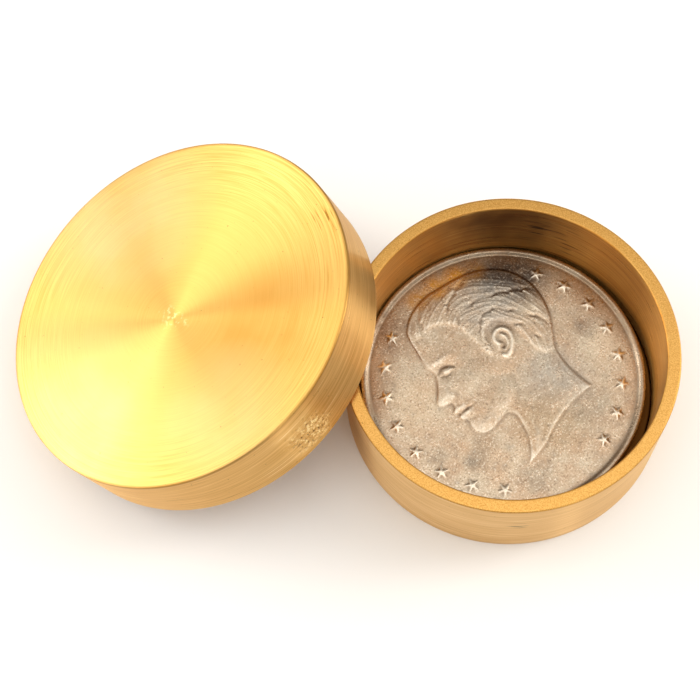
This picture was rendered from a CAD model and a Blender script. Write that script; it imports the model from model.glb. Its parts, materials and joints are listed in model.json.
"""A turned brass coin box with a worn coin in it, and its cap lid leaning on the rim.

Metres, +Z up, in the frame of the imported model: the origin is the centre of the box's base.
"""
import json
import math

import bpy
import numpy as np
from mathutils import Matrix, Vector


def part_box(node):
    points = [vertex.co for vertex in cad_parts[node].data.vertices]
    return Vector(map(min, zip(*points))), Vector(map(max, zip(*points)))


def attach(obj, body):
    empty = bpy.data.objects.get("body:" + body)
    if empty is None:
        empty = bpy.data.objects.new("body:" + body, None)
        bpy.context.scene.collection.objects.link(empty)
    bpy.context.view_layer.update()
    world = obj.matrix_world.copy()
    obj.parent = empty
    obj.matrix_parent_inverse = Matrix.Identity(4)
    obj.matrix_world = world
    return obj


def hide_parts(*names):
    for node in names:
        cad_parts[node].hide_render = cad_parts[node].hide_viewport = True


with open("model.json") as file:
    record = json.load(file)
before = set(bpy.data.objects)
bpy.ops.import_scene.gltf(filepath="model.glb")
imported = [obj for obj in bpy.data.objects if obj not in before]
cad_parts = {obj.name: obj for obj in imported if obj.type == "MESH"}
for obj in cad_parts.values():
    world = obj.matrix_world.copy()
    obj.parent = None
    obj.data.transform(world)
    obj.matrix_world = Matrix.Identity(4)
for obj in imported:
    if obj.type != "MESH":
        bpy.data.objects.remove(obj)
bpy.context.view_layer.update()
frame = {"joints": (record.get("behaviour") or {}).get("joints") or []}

MM = 0.001

# Sizes of the turned pieces, in millimetres, as in the part's source
BOX_WALL = 1.4
BOX_FLOOR = 1.5
LID_CLEARANCE = 0.2
LID_WALL = 2.0
LID_TOP = 2.0
LID_HEIGHT = 7.4
BROKEN_EDGE = 0.15
BASE_EDGE = 0.3
TOOL_RADIUS = 0.25
ROUND_STEPS = 288
EDGE_STEPS = 5

# Sizes of the coin, in millimetres. The edge's bow and the start of the reeds are shares of the edge
COIN_EDGE = 0.18
EDGE_BOW, REED_START = 0.3, 1.6
RIM_WIDTH = 0.5
RIM_SLOPE = 0.3
FIELD_DEPTH = 0.24
REEDS = 150
REED_DEPTH = 0.1
REED_FLANK = 0.6
STEPS_PER_REED = 6
COIN_TURN = 27

# Sizes and places read from the frame, in millimetres
box_low, box_high = (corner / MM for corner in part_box("box"))
lid_low, lid_high = (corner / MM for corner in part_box("lid"))
coin_low, coin_high = (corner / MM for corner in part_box("coin"))
box_radius = (box_high.x - box_low.x) / 2
box_height = box_high.z
lid_radius = box_radius + LID_CLEARANCE + LID_WALL
coin_radius = (coin_high.x - coin_low.x) / 2
coin_thickness = coin_high.z - coin_low.z
lid_axis = Vector(next(j["axis"] for j in frame["joints"] if j["name"] == "lid_lift")).normalized()

# The lid's own frame: its open end on z = 0, centred, +Z out of its top
# The coin's own frame: its struck face on z = 0, centred, the crown of the head towards +y
lid_place = (
    Matrix.Translation((lid_low + lid_high) / 2 - lid_axis * LID_HEIGHT / 2)
    @ lid_axis.to_track_quat("Z", "Y").to_matrix().to_4x4()
)
coin_place = (
    Matrix.Translation(((coin_low.x + coin_high.x) / 2, (coin_low.y + coin_high.y) / 2, coin_high.z))
    @ Matrix.Rotation(math.radians(COIN_TURN), 4, "Z")
)
box_place = Matrix.Identity(4)

# Tool lines: how many across a millimetre, the share of that along them, and their depth in millimetres.
# The real lines are finer, and are drawn as coarse as they need to show. UNEVEN is how much fine ones count
LINES = {"faced": (9.0, 0.016, 0.0018), "brushed": (5.2, 0.02, 0.0045), "lapped": (8.0, 1.0, 0.006)}
UNEVEN = 0.7

# Broad lines among them, as a share of their count and of their depth
BROAD, BROAD_DEPTH = 0.36, 0.5

# Where the lines on the lid's top close in, and its tool rings: radii, half width, the flat beside it, depth
FACING_CENTRE = (1.24, 0.09, 0)
RING_RADII = (18.95, 18.6, 18.3, 17.6, 17.3, 16.4, 14.2)
RING_HALF = 0.06
RING_FLAT = 1.6
RING_DEPTH = 0.015

# The other marks on the brass: how many across a millimetre, the share of that along a score mark, and how
# finely they break up
CLOUDS, RAGS, FLECKS, SPECKS, SCORES = 0.16, 0.7, 2.3, 3.0, 3.4
SCORE_DRAW = 0.08
CLOUD_DETAIL, SCORE_DETAIL, FLECK_UNEVEN = 3.0, 1.0, 0.6

# Stretch of a noise's values over which a mark comes in: the whole of them or one of their tails
NOISE_MEAN = 0.5
WHOLE, WIDE = (0.35, 0.65), (0.3, 0.7)
DARK_SCRATCH, PALE_SCRATCH = (0.33, 0.27), (0.67, 0.73)
SCORE, SPECK = (0.58, 0.66), (0.72, 0.78)
DARK_FLECK, PALE_FLECK = (0.58, 0.7), (0.46, 0.38)

# Places of marks on the brass: a centre and a reach in millimetres, full inside SPOT_FULL of the reach.
# A film also has its colour, its least and its most, and score marks have their colour. A rough patch has
# the colours of its dark and pale flecks and their depth, and its edge strays by about STRAY / 2
STRAY = 3.0
SPOT_FULL = 0.4
BORE_FILMS = [(((1.0, 15.9, 11.0), 11.0), "#5C3414", 0.4, 0.85)]
TOP_FILMS = [
    (((3.2, 10.8, LID_HEIGHT), 9.0), "#D28C34", 0.25, 0.5),
    (((13.0, -11.0, LID_HEIGHT), 15.0), "#FBE0A8", 0.12, 0.25),
    (((-11.5, -9.0, LID_HEIGHT), 12.0), "#FFE8BC", 0.1, 0.25),
    (((11.5, 8.0, LID_HEIGHT), 8.0), "#FFE2A8", 0.15, 0.3),
]
BORE_SCORES = (((6.6, 14.4, 7.7), 4.6), "#3A2410")
WALL_SCORES = (((-1.5, -17.2, 7.5), 1.3), "#3A2410")
TOP_SCORES = (((-9.0, 15.6, LID_HEIGHT), 2.2), "#A06C24")
CHIPPED_PATCH = (((12.1, 15.3, 2.7), 3.0), ("#4E3210", "#FFE2A2"), 0.3)
CENTRE_MARK = ((FACING_CENTRE[:2] + (LID_HEIGHT,), 1.7), ("#E0AE58", "#FADA94"), 0.016)

# How far from an upper edge its grime starts and is full
GRIME_START, GRIME_FULL = 0.35, 0.1

# How much of a mark's colour shows
SCRATCH_SHARE, GRIME_SHARE, SCORE_SHARE, SPECK_SHARE = 0.7, 0.6, 0.85, 0.6

# Darker and paler tone of each brass finish, and the dark and pale scratches of a brushed or bored one
FACED = ("#DCA652", "#F6C872")
MEAN_FACED = "#EAB862"
BRUSHED = ("#D2A058", "#EABE7A", "#9A6C2E", "#FFE6B4")
BRUSHED_BOX = ("#D4A866", "#ECC690", "#9A6C2E", "#FFE6B4")
LAPPED = ("#BA8640", "#DAAA60")
BORED = ("#C2863C", "#DEAA5C", "#8A5A24", "#F6CC84")
TARNISHED = ("#4A2E12", "#6E4A20")
GRIME = "#80501C"
SPECK_BROWN = "#5A3A14"

# Faced brass: its lines even out inwards between two radii, and its tone rises outwards between two others
EVEN_RADII, EVEN_SHARE = (17.5, 10.0), 0.7
TONE_RADII, TONE_LEVELS = (4.0, 18.0), (0.9, 1.08)

# Roughness of each finish, and how far its lines draw a highlight out: faced brass shows fans of light,
# brushed and bored brass bands along the axis, lapped brass an even sheen, the tarnished floor a dull one.
# The draw lies a quarter turn from the map's u, across the lines
FACED_GLOSS = (0.35, 1.0)
BRUSHED_GLOSS = (0.34, 1.0)
BORED_GLOSS = (0.3, 1.0)
LAPPED_GLOSS = (0.36, 0.0)
TARNISHED_GLOSS = (0.4, 0.5)
GLOSS_SPREAD = 0.03
QUARTER_TURN = 0.25

# Camera, as in the photograph: place in millimetres, angle down and roll in degrees, focal length in pixels
CAMERA_AT = (-16.26, -53.28, 148.12)
CAMERA_DOWN = 67.92
CAMERA_ROLL = -6.27
FOCAL_PIXELS = 1429.6
IMAGE_PIXELS = 700
SENSOR_WIDTH = 36

# Soft lights: bearing and height in degrees, distance, width and height in metres, lean in degrees, radiance
LIGHTS = {
    "window": (159, 26, 0.6, 0.3, 0.39, 41, 3.6),
    "fill": (10, 37, 0.7, 0.2, 0.6, 0, 3.7),
    "edge": (295, 22, 0.7, 0.1, 0.5, 0, 2.2),
    "ceiling": (90, 90, 0.8, 0.7, 0.7, 0, 1.55),
}
LIGHTS_AIM = Vector((-0.016, 0.004, 0))

# The pale room: its level at the horizon and overhead, and by how much its sides are brighter and its front
# and back dimmer
ROOM_HORIZON, ROOM_OVERHEAD, ROOM_SIDES = 0.95, 0.55, 0.42

# Colours of the room's light, of plain white and of the paper on the floor
ROOM_COLOUR, WHITE, PAPER = "#FFFAF2", "#FFFFFF", "#F8F6F3"

# The floor, in metres: half its side, and how far out its shadows start to fade and are gone
FLOOR_HALF, FADE_START, FADE_END = 1.5, 0.05, 0.22


def linear(hex_colour):
    """An sRGB hex colour as linear red, green, blue and alpha."""
    parts = [int(hex_colour[i:i + 2], 16) / 255 for i in (1, 3, 5)]
    return [c / 12.92 if c <= 0.04045 else ((c + 0.055) / 1.055) ** 2.4 for c in parts] + [1]


def add(tree, kind, inputs=None, **settings):
    """Adds a node; settings are its own properties, inputs maps an input to a value or a socket to link."""
    node = tree.nodes.new(kind)
    for name, value in settings.items():
        setattr(node, name, value)
    for key, value in (inputs or {}).items():
        if isinstance(value, bpy.types.NodeSocket):
            tree.links.new(value, node.inputs[key])
        else:
            node.inputs[key].default_value = value
    return node


def mapped(tree, value, span, levels=(0.0, 1.0), **settings):
    """A value's place in a span as a level between two others, held at its ends."""
    return add(tree, "ShaderNodeMapRange", {
        "Value": value, 1: span[0], 2: span[1], 3: levels[0], 4: levels[1],
    }, **settings).outputs[0]


def noise(tree, place, scale, result="Fac", **inputs):
    """A cloudy noise with about scale clouds in a unit of its place."""
    return add(tree, "ShaderNodeTexNoise", {"Vector": place, "Scale": scale, **inputs}).outputs[result]


def calc(tree, operation, *values):
    """Arithmetic on numbers."""
    return add(tree, "ShaderNodeMath", dict(enumerate(values)), operation=operation).outputs[0]


def vector_calc(tree, operation, *values):
    """Arithmetic on vectors, which gives a vector or, for lengths and products, a number."""
    keys = (0, "Scale") if operation == "SCALE" else (0, 1, 2)
    result = "Value" if operation in ("LENGTH", "DISTANCE", "DOT_PRODUCT") else "Vector"
    return add(tree, "ShaderNodeVectorMath", dict(zip(keys, values)), operation=operation).outputs[result]


def new_material(name):
    """An empty material with a surface output; returns it, its tree and the output."""
    material = bpy.data.materials.new(name)
    material.use_nodes = True
    material.node_tree.nodes.clear()
    return material, material.node_tree, add(material.node_tree, "ShaderNodeOutputMaterial")


def own_millimetres(tree, place):
    """Object coordinates turned into millimetres in a piece's own frame."""
    back = place.inverted()
    coords = add(tree, "ShaderNodeTexCoord").outputs["Object"]
    return add(tree, "ShaderNodeMapping", {
        "Vector": coords, "Location": back.to_translation(), "Rotation": back.to_euler(),
        "Scale": [1 / MM] * 3,
    }, vector_type="POINT").outputs["Vector"]


# Camera, light and floor
def add_camera():
    """The photograph's viewpoint."""
    down, roll = math.radians(CAMERA_DOWN), math.radians(CAMERA_ROLL)
    forward = Vector((0, math.cos(down), -math.sin(down)))
    level_up = Vector((0, math.sin(down), math.cos(down)))
    right = math.cos(roll) * Vector((1, 0, 0)) + math.sin(roll) * level_up
    up = -math.sin(roll) * Vector((1, 0, 0)) + math.cos(roll) * level_up
    data = bpy.data.cameras.new("camera")
    data.sensor_width = SENSOR_WIDTH
    data.lens = FOCAL_PIXELS / IMAGE_PIXELS * SENSOR_WIDTH
    data.clip_start = MM
    camera = bpy.data.objects.new("camera", data)
    facing = Matrix((right, up, -forward)).transposed().to_4x4()
    camera.matrix_world = Matrix.Translation(Vector(CAMERA_AT) * MM) @ facing
    bpy.context.scene.collection.objects.link(camera)
    bpy.context.scene.camera = camera


def add_softbox(name, bearing, height, distance, wide, tall, lean, radiance):
    """A soft light aimed at the middle of the object; angles in degrees, lengths in metres."""
    a, h = math.radians(bearing), math.radians(height)
    out = Vector((math.cos(a) * math.cos(h), math.sin(a) * math.cos(h), math.sin(h)))
    data = bpy.data.lights.new(name, "AREA")
    data.shape = "RECTANGLE"
    data.size = wide
    data.size_y = tall
    data.energy = radiance * math.pi * wide * tall
    light = bpy.data.objects.new(name, data)
    light.matrix_world = (
        Matrix.Translation(LIGHTS_AIM + out * distance)
        @ out.to_track_quat("Z", "Y").to_matrix().to_4x4()
        @ Matrix.Rotation(math.radians(lean), 4, "Z")
    )
    bpy.context.scene.collection.objects.link(light)


def add_surroundings():
    """White to the camera; to all else a pale room, dimmer overhead and brighter at the sides."""
    world = bpy.data.worlds.new("pale_room")
    bpy.context.scene.world = world
    world.use_nodes = True
    tree = world.node_tree
    tree.nodes.clear()
    ways = add(tree, "ShaderNodeTexCoord").outputs["Generated"]
    up = add(tree, "ShaderNodeSeparateXYZ", {0: ways}).outputs["Z"]
    level = mapped(tree, up, (0.0, 1.0), (ROOM_HORIZON, ROOM_OVERHEAD))
    squares = vector_calc(tree, "MULTIPLY", ways, ways)
    sides = vector_calc(tree, "DOT_PRODUCT", squares, (ROOM_SIDES, -ROOM_SIDES, 0))
    room = calc(tree, "ADD", level, sides)
    pale = add(tree, "ShaderNodeBackground", {"Color": linear(ROOM_COLOUR), "Strength": room})
    white = add(tree, "ShaderNodeBackground", {"Color": linear(WHITE), "Strength": 1.0})
    seen = add(tree, "ShaderNodeLightPath").outputs["Is Camera Ray"]
    both = add(tree, "ShaderNodeMixShader", {0: seen, 1: pale.outputs[0], 2: white.outputs[0]})
    add(tree, "ShaderNodeOutputWorld", {"Surface": both.outputs[0]})


def add_floor():
    """A white paper sweep: matt, with the objects' shadow, and running out to plain white away from them."""
    mesh = bpy.data.meshes.new("floor")
    corners = [(x * FLOOR_HALF, y * FLOOR_HALF, 0) for x, y in ((-1, -1), (1, -1), (1, 1), (-1, 1))]
    mesh.from_pydata(corners, [], [(0, 1, 2, 3)])
    floor = bpy.data.objects.new("floor", mesh)
    bpy.context.scene.collection.objects.link(floor)
    material, tree, output = new_material("white_paper")
    matt = add(tree, "ShaderNodeBsdfDiffuse", {"Color": linear(PAPER)})
    white = add(tree, "ShaderNodeEmission", {"Color": linear(WHITE), "Strength": 1.0})
    coords = add(tree, "ShaderNodeTexCoord").outputs["Object"]
    away = vector_calc(tree, "LENGTH", coords)
    plain = mapped(tree, away, (FADE_START, FADE_END), interpolation_type="SMOOTHSTEP")
    seen = add(tree, "ShaderNodeLightPath").outputs["Is Camera Ray"]
    share = calc(tree, "MULTIPLY", plain, seen)
    both = add(tree, "ShaderNodeMixShader", {0: share, 1: matt.outputs[0], 2: white.outputs[0]})
    tree.links.new(both.outputs[0], output.inputs["Surface"])
    mesh.materials.append(material)


# Brass finishes
def near(tree, own, spot):
    """1 round the middle of a spot, a centre and a reach in millimetres, falling to 0 at its reach."""
    centre, reach = spot
    return mapped(tree, vector_calc(tree, "DISTANCE", own, centre), (reach, SPOT_FULL * reach))


def layer(tree, below, hue, value, span, most=1.0, least=0.0, where=None):
    """Lays a colour over another, from least to most as a value crosses a span, where a mask lets it."""
    share = mapped(tree, value, span, (least, most))
    if where:
        share = calc(tree, "MULTIPLY", share, where)
    return add(tree, "ShaderNodeMix", {0: share, 6: below, 7: linear(hue)}, data_type="RGBA").outputs[2]


def brass(name, place, kind, gloss, tones, films=(), scores=None, chips=None, middle=(0, 0, 0), edge=None):
    """Turned brass: a warm yellow metal whose fine tool lines draw its highlights out across them."""
    material, tree, output = new_material(name)
    own = own_millimetres(tree, place)
    flat = vector_calc(tree, "MULTIPLY", own, (1, 1, 0))
    if kind == "faced":
        inside = mapped(tree, vector_calc(tree, "LENGTH", flat), (lid_radius, 0.0))
        shift = vector_calc(tree, "SCALE", middle, inside)
        across = vector_calc(tree, "LENGTH", vector_calc(tree, "SUBTRACT", flat, shift))
    else:
        across = add(tree, "ShaderNodeSeparateXYZ", {0: own}).outputs["Z"]
    step = add(tree, "ShaderNodeCombineXYZ", {"Z": across}).outputs[0]
    lines, draw, deep = LINES[kind]
    roughness, anisotropy = gloss
    dark, pale, *scratches = tones

    def drawn(share):
        """Coordinates in which a noise is drawn out along the tool lines."""
        return vector_calc(tree, "ADD", vector_calc(tree, "SCALE", flat, share), step)

    line = drawn(draw)
    fine = noise(tree, line, lines, Roughness=UNEVEN)
    broad = noise(tree, line, BROAD * lines, Roughness=UNEVEN)
    tone = layer(tree, linear(dark), pale, fine, WHOLE)
    if scratches:
        tone = layer(tree, tone, scratches[0], fine, DARK_SCRATCH, SCRATCH_SHARE)
        tone = layer(tree, tone, scratches[1], fine, PALE_SCRATCH, SCRATCH_SHARE)
    if edge:
        tone = layer(tree, tone, GRIME, across, (edge - GRIME_START, edge - GRIME_FULL), GRIME_SHARE)
    if kind == "faced":
        tone = layer(tree, tone, MEAN_FACED, across, EVEN_RADII, EVEN_SHARE)
        tone = vector_calc(tree, "SCALE", tone, mapped(tree, across, TONE_RADII, TONE_LEVELS))
    for spot, hue, least, most in films:
        clouds = noise(tree, own, CLOUDS, Detail=CLOUD_DETAIL)
        tone = layer(tree, tone, hue, clouds, WHOLE, most, least, near(tree, own, spot))
    if scores:
        spot, hue = scores
        dashes = noise(tree, drawn(SCORE_DRAW), SCORES, Detail=SCORE_DETAIL)
        tone = layer(tree, tone, hue, dashes, SCORE, SCORE_SHARE, where=near(tree, own, spot))
    colour = layer(tree, tone, SPECK_BROWN, noise(tree, own, SPECKS), SPECK, SPECK_SHARE)
    rough = mapped(tree, fine, WIDE, (roughness - GLOSS_SPREAD, roughness + GLOSS_SPREAD))
    normal = add(tree, "ShaderNodeBump", {"Height": fine, "Distance": deep * MM}).outputs[0]
    normal = add(tree, "ShaderNodeBump", {
        "Height": broad, "Distance": BROAD_DEPTH * deep * MM, "Normal": normal,
    }).outputs[0]
    if chips:
        spot, hues, chip_depth = chips
        flecks = noise(tree, own, FLECKS, Roughness=FLECK_UNEVEN)
        ragged = vector_calc(tree, "SUBTRACT", noise(tree, own, RAGS, "Color"), [NOISE_MEAN] * 3)
        here = near(tree, vector_calc(tree, "MULTIPLY_ADD", ragged, [STRAY] * 3, own), spot)
        colour = layer(tree, colour, hues[0], flecks, DARK_FLECK, where=here)
        colour = layer(tree, colour, hues[1], flecks, PALE_FLECK, where=here)
        worn = calc(tree, "MULTIPLY", calc(tree, "SUBTRACT", flecks, NOISE_MEAN), here)
        normal = add(tree, "ShaderNodeBump", {
            "Height": worn, "Distance": chip_depth * MM, "Normal": normal,
        }).outputs[0]
    tangent = add(tree, "ShaderNodeTangent", direction_type="UV_MAP", uv_map="turning")
    shader = add(tree, "ShaderNodeBsdfPrincipled", {
        "Base Color": colour, "Metallic": 1.0, "Roughness": rough, "Anisotropic": anisotropy,
        "Anisotropic Rotation": QUARTER_TURN, "Normal": normal, "Tangent": tangent.outputs[0],
    })
    tree.links.new(shader.outputs[0], output.inputs["Surface"])
    return material


# Turned pieces
def rounded_profile(corners):
    """A lathe profile's points and finishes, from corners: radius, height, rounding, finish that follows."""
    points, finishes = [], []
    for i, (radius, height, rounding, finish) in enumerate(corners):
        corner = Vector((radius, height))
        if rounding == 0:
            points.append(corner)
            finishes.append(finish)
            continue
        before, after = ((Vector(corners[k][:2]) - corner).normalized() for k in (i - 1, i + 1))
        centre = corner + rounding * (before + after)
        points.append(corner + before * 2 * rounding)
        finishes.append(corners[i - 1][3])
        for k in range(EDGE_STEPS + 1):
            turn = math.pi / 2 * k / EDGE_STEPS
            points.append(centre - rounding * (math.cos(turn) * after + math.sin(turn) * before))
            finishes.append(finish)
        points.append(corner + after * 2 * rounding)
        finishes.append(finish)
    return points, finishes


def lathe(name, corners, place, materials, middle=(0, 0, 0)):
    """A closed turned piece with a map whose u runs round and whose v runs along the profile.

    The rings past its widest one close in on a middle that may lie a little off its axis.
    """
    points, finishes = rounded_profile(corners)
    widest = max(p.x for p in points)
    past = max(i for i, p in enumerate(points) if p.x == widest)
    names = list(materials)
    run = np.concatenate([[0], np.cumsum([(b - a).length for a, b in zip(points, points[1:])])])
    run /= run[-1]
    vertices, rings = [], []
    for i, point in enumerate(points):
        count = ROUND_STEPS if point.x > 0 else 1
        off = 1 - point.x / widest if i > past else 0
        rings.append(range(len(vertices), len(vertices) + count))
        for k in range(count):
            turn = 2 * math.pi * k / ROUND_STEPS
            x = point.x * math.cos(turn) + off * middle[0]
            y = point.x * math.sin(turn) + off * middle[1]
            vertices.append((x, y, point.y))
    faces, uvs, slots = [], [], []
    for i, (low, high) in enumerate(zip(rings, rings[1:])):
        for k in range(ROUND_STEPS):
            n = (k + 1) % ROUND_STEPS
            u0, u1 = k / ROUND_STEPS, (k + 1) / ROUND_STEPS
            if len(low) == 1:
                faces.append((low[0], high[n], high[k]))
                uvs += [((u0 + u1) / 2, run[i]), (u1, run[i + 1]), (u0, run[i + 1])]
            elif len(high) == 1:
                faces.append((low[k], low[n], high[0]))
                uvs += [(u0, run[i]), (u1, run[i]), ((u0 + u1) / 2, run[i + 1])]
            else:
                faces.append((low[k], low[n], high[n], high[k]))
                uvs += [(u0, run[i]), (u1, run[i]), (u1, run[i + 1]), (u0, run[i + 1])]
            slots.append(names.index(finishes[i]))
    mesh = bpy.data.meshes.new(name)
    mesh.from_pydata(vertices, [], faces)
    mesh.uv_layers.new(name="turning").data.foreach_set("uv", np.array(uvs).ravel())
    mesh.polygons.foreach_set("material_index", slots)
    mesh.polygons.foreach_set("use_smooth", [True] * len(faces))
    for material in materials.values():
        mesh.materials.append(material)
    mesh.transform(Matrix.Scale(MM, 4) @ place)
    piece = bpy.data.objects.new(name, mesh)
    bpy.context.scene.collection.objects.link(piece)
    return piece


def add_box():
    """The open box: a cup turned from bar, its wall brushed, its rim lapped flat."""
    inner = box_radius - BOX_WALL
    piece = lathe("brass_box", [
        (0, 0, 0, "faced"),
        (box_radius, 0, BASE_EDGE, "brushed"),
        (box_radius, box_height, BROKEN_EDGE, "lapped"),
        (inner, box_height, BROKEN_EDGE, "bored"),
        (inner, BOX_FLOOR, TOOL_RADIUS, "floor"),
        (0, BOX_FLOOR, 0, "floor"),
    ], box_place, {
        "faced": brass("brass_faced_base", box_place, "faced", FACED_GLOSS, FACED),
        "floor": brass("brass_tarnished_floor", box_place, "brushed", TARNISHED_GLOSS, TARNISHED),
        "brushed": brass("brass_brushed_box", box_place, "brushed", BRUSHED_GLOSS, BRUSHED_BOX,
                         scores=WALL_SCORES, edge=box_height),
        "lapped": brass("brass_lapped_rim", box_place, "lapped", LAPPED_GLOSS, LAPPED),
        "bored": brass("brass_bored_box", box_place, "brushed", BORED_GLOSS, BORED, BORE_FILMS, BORE_SCORES),
    })
    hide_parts("box")
    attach(piece, "box")


def add_lid():
    """The cap lid, leaning on the rim with its faced top upwards."""
    inner = lid_radius - LID_WALL
    ceiling = LID_HEIGHT - LID_TOP
    piece = lathe("brass_lid", [
        (0, ceiling, 0, "faced"),
        (inner, ceiling, TOOL_RADIUS, "bored"),
        (inner, 0, BROKEN_EDGE, "lapped"),
        (lid_radius, 0, BROKEN_EDGE, "brushed"),
        (lid_radius, LID_HEIGHT, BROKEN_EDGE, "faced"),
        *[(r + dr * RING_HALF, LID_HEIGHT - deep, 0, "faced") for r in RING_RADII
          for dr, deep in ((RING_FLAT, 0), (1, 0), (0, RING_DEPTH), (-1, 0), (-RING_FLAT, 0))],
        (0, LID_HEIGHT, 0, "faced"),
    ], lid_place, {
        "faced": brass("brass_faced_lid", lid_place, "faced", FACED_GLOSS, FACED, TOP_FILMS, TOP_SCORES,
                       CENTRE_MARK, FACING_CENTRE, lid_radius),
        "bored": brass("brass_bored_lid", lid_place, "brushed", BORED_GLOSS, BORED),
        "lapped": brass("brass_lapped_lid", lid_place, "lapped", LAPPED_GLOSS, LAPPED),
        "brushed": brass("brass_brushed_lid", lid_place, "brushed", BRUSHED_GLOSS, BRUSHED,
                         chips=CHIPPED_PATCH, edge=LID_HEIGHT),
    }, FACING_CENTRE)
    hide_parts("lid")
    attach(piece, "lid")


# The coin's face, in millimetres on the coin, crown of the head towards +y
HEAD_FRONT = [
    (0.6, 12.45), (-1.9, 12.35), (-4.2, 11.5), (-5.75, 10.1), (-6.1, 8.9), (-6.2, 7.6), (-6.3, 6.3),
    (-6.35, 5.3), (-6.0, 4.4), (-6.3, 3.4), (-6.95, 2.3), (-7.6, 1.45), (-7.65, 0.95), (-7.2, 0.6),
    (-6.4, 0.42), (-6.35, 0.0), (-6.75, -0.5), (-6.65, -0.82), (-6.25, -0.98), (-6.55, -1.3),
    (-6.4, -1.75), (-5.95, -2.15), (-6.1, -2.9), (-5.95, -3.7), (-5.3, -4.3), (-4.4, -4.4), (-3.1, -4.0),
    (-2.0, -3.75), (-1.4, -4.4), (-1.45, -5.6), (-1.75, -7.2), (-2.5, -8.6), (-3.4, -9.7),
]
NECK_CUT = [(-3.4, -9.7), (-1.0, -9.0), (1.6, -7.6), (4.4, -6.6), (7.3, -6.2)]
HEAD_BACK = [
    (7.3, -6.2), (6.75, -4.2), (6.5, -2.2), (6.7, -0.4), (7.5, 1.2), (8.5, 3.2), (9.0, 5.6), (8.7, 8.0),
    (7.4, 10.2), (5.2, 11.7), (2.9, 12.3), (0.6, 12.45),
]
HAIRLINE = [
    (-6.1, 9.0), (-5.0, 8.6), (-3.6, 8.9), (-2.1, 8.5), (-1.0, 7.5), (-0.5, 6.0), (-0.25, 4.6),
    (0.0, 3.2), (0.6, 2.6), (1.0, 3.4), (1.1, 4.7), (1.9, 5.7), (3.2, 5.7), (4.1, 4.6), (4.4, 2.8),
    (4.6, 1.0), (5.4, -0.4), (6.7, -0.6),
]

# Swellings of the head: centre, half sizes, turn in degrees, height
SWELLINGS = {
    "skull": ((1.3, 5.4), (8.4, 7.8), 12, 0.120),
    "face": ((-3.1, 2.2), (4.2, 7.2), -4, 0.120),
    "cheekbone": ((-2.3, 1.7), (3.4, 2.2), 12, 0.155),
    "jaw": ((-2.6, -1.9), (4.6, 2.7), 14, 0.135),
    "chin": ((-4.9, -3.2), (1.6, 1.4), 0, 0.120),
    "neck": ((2.4, -4.2), (5.6, 6.0), 0, 0.100),
    "neck muscle": ((1.1, -4.3), (6.0, 1.3), 62, 0.125),
    "nose": ((-6.1, 2.2), (1.1, 2.5), -24, 0.120),
}

# Soft touches on them: centre, half sizes, turn, height, negative where it is pressed in
TOUCHES = {
    "eye socket": ((-4.9, 3.95), (1.35, 0.95), -6, -0.085),
    "eye": ((-4.75, 3.8), (0.72, 0.40), -6, 0.085),
    "brow": ((-4.9, 5.15), (1.5, 0.40), 6, 0.045),
    "wing of the nose": ((-6.05, 0.98), (0.55, 0.45), 0, 0.045),
    "crease behind it": ((-5.35, 1.0), (0.22, 0.6), -20, -0.035),
    "fold beside the mouth": ((-4.75, -0.1), (0.25, 1.2), -30, -0.022),
    "upper lip": ((-5.9, -0.5), (0.8, 0.26), -6, 0.035),
    "lower lip": ((-5.8, -1.3), (0.72, 0.28), 4, 0.040),
    "mouth": ((-5.7, -0.93), (0.95, 0.11), 2, -0.08),
    "crease over the chin": ((-5.4, -2.1), (0.9, 0.30), 0, -0.04),
    "hollow of the cheek": ((-0.6, -1.0), (2.6, 1.2), 50, -0.02),
}

# Lines cut into them: points, half width, depth
CUTS = {
    "fold of the upper lid": ([(-5.65, 4.05), (-5.0, 4.42), (-4.2, 4.25), (-3.75, 3.85)], 0.16, 0.055),
    "lower lid": ([(-5.5, 3.6), (-4.9, 3.38), (-4.2, 3.5)], 0.14, 0.035),
    "iris": ([(-5.3, 4.1), (-5.18, 3.85), (-5.22, 3.6)], 0.13, 0.03),
    "under the jaw": ([(-2.0, -3.75), (-0.6, -3.1), (0.6, -1.9), (1.0, -0.4)], 0.45, 0.045),
}

# The ear, in its own frame: lines that stand up, as points, half width and height, then soft touches
EAR_CENTRE, EAR_TURN = (2.3, 3.1), -14
EAR_LINES = [
    ([(-0.25, -0.1), (-0.75, 0.35), (-0.8, 1.0), (-0.3, 1.6), (0.45, 1.65), (1.0, 1.1), (1.05, 0.3),
      (0.75, -0.5), (0.35, -1.15), (-0.15, -1.6), (-0.5, -1.35)], 0.22, 0.085),
    ([(0.1, 1.0), (0.45, 0.6), (0.45, 0.0), (0.15, -0.6), (-0.2, -0.75)], 0.19, 0.055),
]
EAR_TOUCHES = [
    ((0.1, 0.1), (1.2, 1.7), 0, 0.02),
    ((-0.2, -0.15), (0.35, 0.5), 0, -0.07),
    ((-0.62, -0.35), (0.22, 0.3), 0, 0.05),
    ((-0.15, -1.2), (0.4, 0.35), 0, 0.045),
]

# Hair, combed back round a point: lock width and length in millimetres, and how far a lock stands up
HAIR_CENTRE = (1.0, 3.6)
HAIR_REACH = 6.0
LOCK_WIDTH, LOCK_LENGTH, LOCK_HEIGHT = 0.95, 5.2, 0.066

# Its edge, in millimetres in from the outline, and its step over the skin. The wave and the ripple of its
# rows: height in millimetres, how often round the point, and where the wave starts
HAIR_EDGE, HAIR_STEP = (-0.12, 0.4), 0.01
HAIR_WAVE, HAIR_RIPPLE = (0.4, 2.3, 0.7), (0.12, 7)

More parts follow.
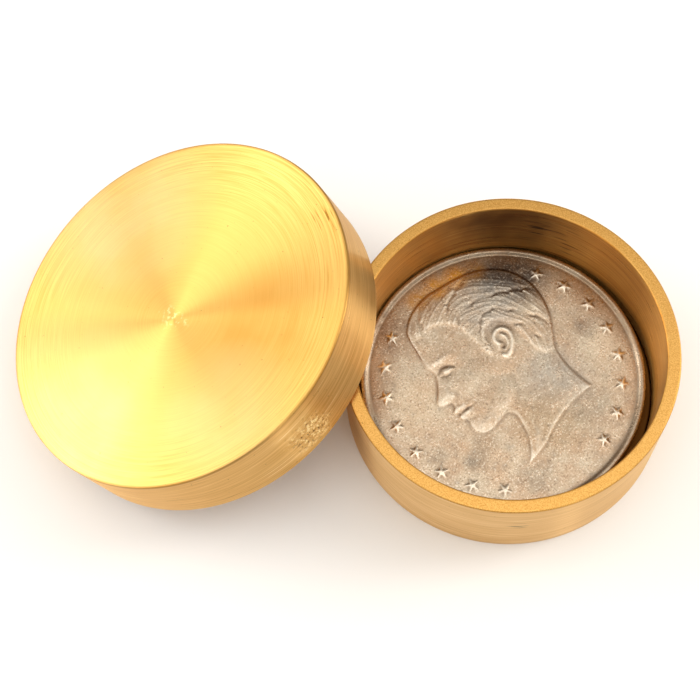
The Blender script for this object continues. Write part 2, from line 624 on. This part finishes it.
# Its locks: how far each row is shifted along and strays, how a lock slants across its row, its half width in
# rows, how blunt it ends, how deep its two strands part, and how uneven the locks are
ROW_SHIFT, ROW_STRAY, ROW_SEED = 0.618, 0.15, 5
LOCK_SLANT, LOCK_HALF, LOCK_BLUNT = 0.3, 0.85, 1.02
STRAND_DEPTH, LOCK_UNEVEN, LOCK_SEEDS = 0.16, 0.15, (4, 9)

# Films of tarnish and rubbed places on the coin: centre and reach, colour and strength
TONING = [
    (((8.0, 8.6, 0), 4.0), "#3E2E24", 0.95),
    (((5.9, 10.2, 0), 2.6), "#3C2C22", 0.95),
    (((-7.6, 11.8, 0), 4.4), "#74563E", 0.75),
    (((10.8, -0.2, 0), 1.6), "#6A5A4C", 0.55),
    (((13.8, 2.6, 0), 3.0), "#8A6644", 0.4),
    (((14.2, -3.4, 0), 2.6), "#7E5E40", 0.3),
    (((11.4, -3.4, 0), 3.2), "#D6C4A8", 0.55),
    (((-9.6, 2.6, 0), 4.0), "#CCB698", 0.5),
    (((3.4, 8.0, 0), 4.6), "#98948C", 0.6),
    (((4.4, -3.6, 0), 4.6), "#A29E96", 0.5),
    (((1.4, -6.9, 0), 5.0), "#988062", 0.7),
    (((-10.9, -3.6, 0), 1.3), "#746452", 0.5),
    (((-8.0, -6.5, 0), 1.6), "#6A5A4A", 0.55),
    (((-6.0, -5.3, 0), 1.8), "#7A6650", 0.45),
    (((-3.8, -11.1, 0), 2.4), "#786A5A", 0.55),
    (((5.9, -7.6, 0), 2.8), "#7E705E", 0.5),
    (((-2.6, 12.5, 0), 1.7), "#B07A28", 0.95),
    (((-0.2, 12.6, 0), 1.8), "#D09230", 1.0),
    (((2.4, 12.5, 0), 1.8), "#D49632", 1.0),
    (((4.6, 12.0, 0), 1.6), "#B07A2A", 0.9),
]
FILM_LEAST = 0.3

# Mottle of the coin's metal, clouds, spots and grain: how many across a millimetre, detail and roughness.
# The real grain is finer, and is drawn as coarse as it needs to show
COIN_MOTTLE = [(0.3, 4.0, 0.6), (0.8, 4.0, 0.7), (5.0, 3.0, 0.7)]
GRAIN_DEPTH = 0.02

# The coin's colours: its metal, grey spots, pits, glints, rubbed places and dirt
COIN_METAL = ("#AE9276", "#B6A48C")
COIN_SPOTS, COIN_PITS, COIN_GLINTS = "#8E867A", "#5A4632", "#FAEEDA"
COIN_RUBBED, COIN_DIRT = "#E4D8C4", "#503A28"
SPOT_SHARE, PIT_SHARE, GLINT_SHARE, RUBBED_SHARE, DIRT_SHARE = 0.45, 0.6, 0.45, 0.6, 0.95

# Stretch of a noise, or of how far a place is recessed in millimetres, over which they come in
FILM_SPAN, SPOT_SPAN, PIT_SPAN, GLINT_SPAN = (0.3, 0.6), (0.56, 0.74), (0.56, 0.66), (0.44, 0.33)
RUBBED_SPAN, DIRT_SPAN = (-0.004, -0.03), (0.006, 0.04)
DIRT_IN_GRAIN = 0.4
COIN_ROUGHNESS = (0.22, 0.4)

# How deep the rim's grime counts as recessed, and how the recess is measured: cells across the coin, reach
RIM_GRIME = 0.018
RECESS_CELLS, RECESS_REACH = 340, 0.32

# The head: its step over the field, the level that wear has left, and how tightly swellings blend
HEAD_STEP = 0.06
WORN_LEVEL = 0.236
BLEND = 110

# Its edge, in millimetres in from the outline, and its rounding: width at the face, what the crown has more
# and where that comes in, the share of the width that it takes, and its curve
HEAD_EDGE = (-0.03, 0.16)
SHOULDER, CROWN_SHOULDER, CROWN = 1.3, 0.7, (5, 10)
SHOULDER_SPAN, SHOULDER_CURVE = (-0.1, 1), 0.7

# The waves of the worn field: height, how far they lie below it, and how fast the two turn along x and y
FIELD_WAVE, FIELD_SINK = 0.004, 0.003
WAVE_WAYS = ((0.9, 0.4), (-0.5, 0.7))

# Plain stars round the field: from and to bearing in degrees, and how many
STAR_ARCS = [(126, 236, 8), (-68, 38, 8)]
STAR_RING, STAR_POINT, STAR_WAIST, STAR_HEIGHT = 12.75, 0.9, 0.36, 0.11
STAR_SLOPE = (-0.06, 0.2)


def ramp(value, low, high):
    """0 below low, 1 above high, smooth between."""
    t = np.clip((value - low) / (high - low), 0, 1)
    return t * t * (3 - 2 * t)


def smooth_curve(points, steps=8):
    """A smooth open curve through hand-set points."""
    p = np.array(points, float)
    q = np.vstack([2 * p[0] - p[1], p, 2 * p[-1] - p[-2]])
    t = np.linspace(0, 1, steps, endpoint=False)[:, None]
    pieces = [
        0.5 * (2 * b + (c - a) * t + (2 * a - 5 * b + 4 * c - d) * t ** 2 + (3 * b - a - 3 * c + d) * t ** 3)
        for a, b, c, d in zip(q, q[1:], q[2:], q[3:])
    ]
    return np.vstack(pieces + [p[-1:]])


def distance_to(xy, curve):
    """Each point's distance from a curve."""
    best = np.full(len(xy), np.inf)
    for a, b in zip(curve, curve[1:]):
        along = np.clip((xy - a) @ (b - a) / max((b - a) @ (b - a), 1e-12), 0, 1)
        best = np.minimum(best, np.hypot(*(xy - a - along[:, None] * (b - a)).T))
    return best


def depth_in(xy, outline):
    """Each point's distance into a closed outline, negative outside it."""
    x, y = xy.T
    hit = np.zeros(len(xy), bool)
    closed = np.vstack([outline, outline[:1]])
    for (x0, y0), (x1, y1) in zip(closed, closed[1:]):
        if y0 != y1:
            hit ^= ((y0 > y) != (y1 > y)) & (x < x0 + (y - y0) * (x1 - x0) / (y1 - y0))
    return np.where(hit, 1, -1) * distance_to(xy, closed)


def oval(xy, centre, size, turn):
    """Coordinates in an oval's own frame, 1 on its edge."""
    a = math.radians(turn)
    dx, dy = (xy - centre).T
    return (dx * math.cos(a) + dy * math.sin(a)) / size[0], (dy * math.cos(a) - dx * math.sin(a)) / size[1]


def head_height(xy):
    """The head in low relief."""
    domes = []
    for centre, size, turn, top in SWELLINGS.values():
        u, v = oval(xy, centre, size, turn)
        domes.append(top * np.sqrt(np.clip(1 - u * u - v * v, 0, None)))
    body = np.log(np.exp(np.array(domes) * BLEND).sum(0) / len(domes)) / BLEND
    for centre, size, turn, top in TOUCHES.values():
        u, v = oval(xy, centre, size, turn)
        body += top * np.exp(-u * u - v * v)
    for points, width, deep in CUTS.values():
        body -= deep * np.exp(-(distance_to(xy, smooth_curve(points)) / width) ** 2)
    body += hair_height(xy) + ear_height(xy)
    outline = np.vstack([smooth_curve(side)[:-1] for side in (HEAD_FRONT, NECK_CUT, HEAD_BACK)])
    depth = depth_in(xy, outline)
    shoulder = SHOULDER + CROWN_SHOULDER * ramp(xy[:, 1], *CROWN)
    rounding = ramp(depth / shoulder, *SHOULDER_SPAN) ** SHOULDER_CURVE
    head = ramp(depth, *HEAD_EDGE) * (HEAD_STEP + body * rounding)
    return head - np.log1p(np.exp((head - WORN_LEVEL) * BLEND)) / BLEND


def hair_height(xy):
    """Short hair behind the hairline: pointed locks that overlap, combed back round the skull."""
    outline = np.vstack([
        smooth_curve(HAIRLINE)[:-1],
        smooth_curve([HAIRLINE[-1]] + HEAD_BACK[4:])[:-1],
        smooth_curve(HEAD_FRONT[:5])[:-1],
    ])
    dx, dy = (xy - HAIR_CENTRE).T
    angle, out = np.arctan2(dy, dx), np.hypot(dx, dy)
    wave, waves, start = HAIR_WAVE
    ripple, ripples = HAIR_RIPPLE
    bent = out + wave * np.sin(waves * angle + start) + ripple * np.sin(ripples * angle + out)
    along, across = -angle * HAIR_REACH / LOCK_LENGTH, bent / LOCK_WIDTH
    height = np.zeros(len(xy))
    for shift in (-1, 0, 1):
        row = np.floor(across) + shift
        place = along + ROW_SHIFT * row + ROW_STRAY * np.sin(ROW_SEED * row)
        lock = np.rint(place)
        end = 2 * (place - lock)
        off = across - row - 0.5 - LOCK_SLANT * end
        lens = np.clip(1 - (off / (LOCK_HALF * np.sqrt(LOCK_BLUNT - end * end))) ** 2, 0, 1)
        strands = 1 - STRAND_DEPTH + STRAND_DEPTH * np.cos(4 * math.pi * off)
        uneven = 1 - LOCK_UNEVEN + LOCK_UNEVEN * np.sin(LOCK_SEEDS[0] * row + LOCK_SEEDS[1] * lock)
        height = np.maximum(height, np.sqrt(lens) * strands * uneven)
    return ramp(depth_in(xy, outline), *HAIR_EDGE) * (HAIR_STEP + LOCK_HEIGHT * height)


def ear_height(xy):
    """The ear: its outer rim, the fold inside it, a hollow and a lobe."""
    own = np.stack(oval(xy, EAR_CENTRE, (1, 1), EAR_TURN), 1)
    ear = np.zeros(len(xy))
    for points, width, top in EAR_LINES:
        ear += top * np.exp(-(distance_to(own, smooth_curve(points)) / width) ** 2)
    for centre, size, turn, top in EAR_TOUCHES:
        u, v = oval(own, centre, size, turn)
        ear += top * np.exp(-u * u - v * v)
    return ear


def star_height(xy):
    """A ring of plain five-pointed stars, a point of each away from the coin's centre."""
    height = np.zeros(len(xy))
    fifth = 2 * math.pi / 5
    tip = np.array((STAR_POINT, 0))
    waist = STAR_WAIST * np.array((math.cos(fifth / 2), math.sin(fifth / 2)))
    inwards = np.array((tip[1] - waist[1], waist[0] - tip[0])) / np.hypot(*(waist - tip))
    for start, stop, count in STAR_ARCS:
        for bearing in np.radians(np.linspace(start, stop, count)):
            dx, dy = (xy - STAR_RING * np.array((math.cos(bearing), math.sin(bearing)))).T
            turn = np.abs((np.arctan2(dy, dx) - bearing + fifth / 2) % fifth - fifth / 2)
            out = np.hypot(dx, dy)
            folded = np.stack([out * np.cos(turn), out * np.sin(turn)], 1)
            height = np.maximum(height, STAR_HEIGHT * ramp((folded - tip) @ inwards, *STAR_SLOPE))
    return height


def face_height(xy):
    """The struck face over its field: rim, head and stars, with the faint waves of a worn field."""
    x, y = xy.T
    field_radius = coin_radius - RIM_WIDTH - RIM_SLOPE
    rim = FIELD_DEPTH * ramp(np.hypot(x, y), field_radius, field_radius + RIM_SLOPE)
    (a, b), (c, d) = WAVE_WAYS
    waves = FIELD_WAVE * np.sin(a * x + b * y) * np.sin(d * y + c * x) - FIELD_SINK
    return np.maximum.reduce([head_height(xy), rim, star_height(xy)]) + waves


def disc_grid(side):
    """A square grid of side cells by side, laid evenly on the unit disc: its points, cells and border."""
    steps = np.linspace(-1, 1, side + 1)
    a, b = (g.ravel() for g in np.meshgrid(steps, steps))
    wide = np.abs(a) > np.abs(b)
    out = np.where(wide, a, b)
    with np.errstate(divide="ignore", invalid="ignore"):
        turn = np.where(wide, math.pi / 4 * b / a, math.pi / 2 - math.pi / 4 * a / b)
    points = np.stack([out * np.cos(turn), out * np.sin(turn)], 1)
    row = side + 1
    cells = [(r * row + c, r * row + c + 1, (r + 1) * row + c + 1, (r + 1) * row + c)
             for r in range(side) for c in range(side)]
    border = (list(range(side)) + [r * row + side for r in range(side)]
              + [side * row + c for c in range(side, 0, -1)] + [r * row for r in range(side, 0, -1)])
    return points, cells, border


def recess_of(points, heights):
    """How far each point lies below those round it, in millimetres: dirt stays there, and wear misses it."""
    last = RECESS_CELLS - 1
    grid = np.linspace(-coin_radius, coin_radius, RECESS_CELLS)
    spot = np.clip(np.rint((points + coin_radius) / (2 * coin_radius) * last).astype(int), 0, last)
    total = np.zeros((RECESS_CELLS, RECESS_CELLS))
    count = np.full((RECESS_CELLS, RECESS_CELLS), 1e-6)
    np.add.at(total, (spot[:, 1], spot[:, 0]), heights)
    np.add.at(count, (spot[:, 1], spot[:, 0]), 1)
    width = RECESS_REACH / (grid[1] - grid[0])
    offsets = np.arange(-int(3 * width), int(3 * width) + 1)
    kernel = np.exp(-0.5 * (offsets / width) ** 2)

    def blur(rows):
        return np.apply_along_axis(np.convolve, 1, rows, kernel, "same")

    mean = blur(blur(total).T).T / blur(blur(count).T).T
    return mean[spot[:, 1], spot[:, 0]] - heights


def reed_tree():
    """Geometry nodes that press reeds into a coin's edge: it moves in by a wave that follows the angle."""
    tree = bpy.data.node_groups.new("reeded_edge", "GeometryNodeTree")
    face = tree.interface
    face.new_socket("Geometry", in_out="INPUT", socket_type="NodeSocketGeometry")
    kinds = {"Reeds": "NodeSocketInt", "Depth": "NodeSocketFloat", "Finish": "NodeSocketMaterial"}
    sockets = {
        name: face.new_socket(name, in_out="INPUT", socket_type=kind).identifier
        for name, kind in kinds.items()
    }
    face.new_socket("Geometry", in_out="OUTPUT", socket_type="NodeSocketGeometry")
    given = add(tree, "NodeGroupInput").outputs
    place = add(tree, "GeometryNodeInputPosition").outputs[0]
    axes = add(tree, "ShaderNodeSeparateXYZ", {0: place}).outputs
    angle = calc(tree, "ARCTAN2", axes["Y"], axes["X"])
    wave = calc(tree, "COSINE", calc(tree, "MULTIPLY", angle, given["Reeds"]))
    sunk = mapped(tree, wave, (-REED_FLANK, REED_FLANK), (1.0, 0.0))
    reeded = add(tree, "GeometryNodeInputNamedAttribute", {"Name": "reeded"}, data_type="FLOAT")
    here = calc(tree, "MULTIPLY", sunk, reeded.outputs["Attribute"])
    deep = calc(tree, "MULTIPLY", here, given["Depth"])
    outwards = vector_calc(tree, "NORMALIZE", vector_calc(tree, "MULTIPLY", place, (1, 1, 0)))
    move = vector_calc(tree, "SCALE", outwards, calc(tree, "MULTIPLY", deep, -1.0))
    moved = add(tree, "GeometryNodeSetPosition", {"Geometry": given["Geometry"], "Offset": move}).outputs[0]
    whole = add(tree, "GeometryNodeRealizeInstances", {0: moved}).outputs[0]
    done = add(tree, "GeometryNodeSetMaterial", {"Geometry": whole, "Material": given["Finish"]}).outputs[0]
    add(tree, "NodeGroupOutput", {0: done})
    return tree, sockets


def cupronickel():
    """Worn cupronickel: a warm grey metal with a fine glint, bright where rubbed, brown in its recesses."""
    material, tree, output = new_material("cupronickel_worn")
    own = own_millimetres(tree, coin_place)
    recess = add(tree, "ShaderNodeAttribute", attribute_name="recess").outputs["Fac"]
    clouds, spots, grain = (
        noise(tree, own, scale, Detail=detail, Roughness=rough) for scale, detail, rough in COIN_MOTTLE
    )
    tone = layer(tree, linear(COIN_METAL[0]), COIN_METAL[1], clouds, WHOLE)
    for spot, hue, amount in TONING:
        tone = layer(tree, tone, hue, spots, FILM_SPAN, amount, FILM_LEAST * amount, near(tree, own, spot))
    tone = layer(tree, tone, COIN_SPOTS, spots, SPOT_SPAN, SPOT_SHARE)
    tone = layer(tree, tone, COIN_PITS, grain, PIT_SPAN, PIT_SHARE)
    tone = layer(tree, tone, COIN_GLINTS, grain, GLINT_SPAN, GLINT_SHARE)
    tone = layer(tree, tone, COIN_RUBBED, recess, RUBBED_SPAN, RUBBED_SHARE)
    kept = mapped(tree, grain, FILM_SPAN, (1.0, DIRT_IN_GRAIN))
    colour = layer(tree, tone, COIN_DIRT, recess, DIRT_SPAN, DIRT_SHARE, where=kept)
    rough = mapped(tree, spots, WIDE, COIN_ROUGHNESS)
    scuffs = add(tree, "ShaderNodeBump", {"Height": grain, "Distance": GRAIN_DEPTH * MM})
    shader = add(tree, "ShaderNodeBsdfPrincipled", {
        "Base Color": colour, "Metallic": 1.0, "Roughness": rough, "Normal": scuffs.outputs[0],
    })
    tree.links.new(shader.outputs[0], output.inputs["Surface"])
    return material


def add_coin():
    """The coin: a struck face, a reeded edge and a plain dished back, in one closed mesh."""
    points, cells, border = disc_grid(REEDS * STEPS_PER_REED // 4)
    points = points * (coin_radius - COIN_EDGE)
    heights = face_height(points)
    recess = recess_of(points, heights)
    at_rim = ramp(np.hypot(*points.T), STAR_RING + STAR_POINT, coin_radius - RIM_WIDTH)
    recess = recess * (1 - at_rim) + RIM_GRIME * at_rim
    vertices = np.column_stack([points, heights - FIELD_DEPTH])
    rim_in = coin_radius - RIM_WIDTH
    rings = [
        (coin_radius - EDGE_BOW * COIN_EDGE, -EDGE_BOW * COIN_EDGE, 0),
        (coin_radius, -COIN_EDGE, 0),
        (coin_radius, -REED_START * COIN_EDGE, 1),
        (coin_radius, REED_START * COIN_EDGE - coin_thickness, 1),
        (coin_radius, COIN_EDGE - coin_thickness, 0),
        (coin_radius - EDGE_BOW * COIN_EDGE, EDGE_BOW * COIN_EDGE - coin_thickness, 0),
        (coin_radius - COIN_EDGE, -coin_thickness, 0),
        (rim_in, -coin_thickness, 0),
        (rim_in - RIM_SLOPE, FIELD_DEPTH - coin_thickness, 0),
        (rim_in / 2, FIELD_DEPTH - coin_thickness, 0),
    ]
    turn = np.arctan2(points[border, 1], points[border, 0])
    loops, reeded = [border], [np.zeros(len(vertices))]
    for radius, z, share in rings:
        first = sum(len(r) for r in reeded)
        ring = np.column_stack([radius * np.cos(turn), radius * np.sin(turn), np.full(len(turn), z)])
        vertices = np.vstack([vertices, ring])
        loops.append(list(range(first, first + len(turn))))
        reeded.append(np.full(len(turn), share))
    faces = list(cells)
    for upper, lower in zip(loops, loops[1:]):
        for k in range(len(turn)):
            n = (k + 1) % len(turn)
            faces.append((upper[k], lower[k], lower[n], upper[n]))
    pole = len(vertices)
    vertices = np.vstack([vertices, (0, 0, FIELD_DEPTH - coin_thickness)])
    faces += [(loops[-1][k], pole, loops[-1][(k + 1) % len(turn)]) for k in range(len(turn))]
    mesh = bpy.data.meshes.new("coin")
    mesh.from_pydata(vertices.tolist(), [], faces)
    spare = len(vertices) - len(recess)
    attributes = {
        "recess": np.pad(recess, (0, spare)),
        "reeded": np.append(np.concatenate(reeded), 0),
    }
    for name, values in attributes.items():
        mesh.attributes.new(name, "FLOAT", "POINT").data.foreach_set("value", values.astype(np.float32))
    blank = bpy.data.objects.new("coin_blank", mesh)
    bpy.context.scene.collection.objects.link(blank)
    finish = cupronickel()
    tree, sockets = reed_tree()
    reeds = blank.modifiers.new("reeds", "NODES")
    reeds.node_group = tree
    reeds[sockets["Reeds"]] = REEDS
    reeds[sockets["Depth"]] = REED_DEPTH
    reeds[sockets["Finish"]] = finish
    solved = blank.evaluated_get(bpy.context.evaluated_depsgraph_get())
    struck = bpy.data.meshes.new_from_object(solved)
    bpy.data.objects.remove(blank)
    struck.polygons.foreach_set("use_smooth", [True] * len(struck.polygons))
    struck.transform(Matrix.Scale(MM, 4) @ coin_place)
    piece = bpy.data.objects.new("struck_coin", struck)
    bpy.context.scene.collection.objects.link(piece)
    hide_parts("coin")
    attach(piece, "coin")


add_camera()
add_surroundings()
for light_name, light_setting in LIGHTS.items():
    add_softbox(light_name, *light_setting)
add_floor()
add_box()
add_lid()
add_coin()

bpy.context.scene.view_settings.view_transform = "Standard"
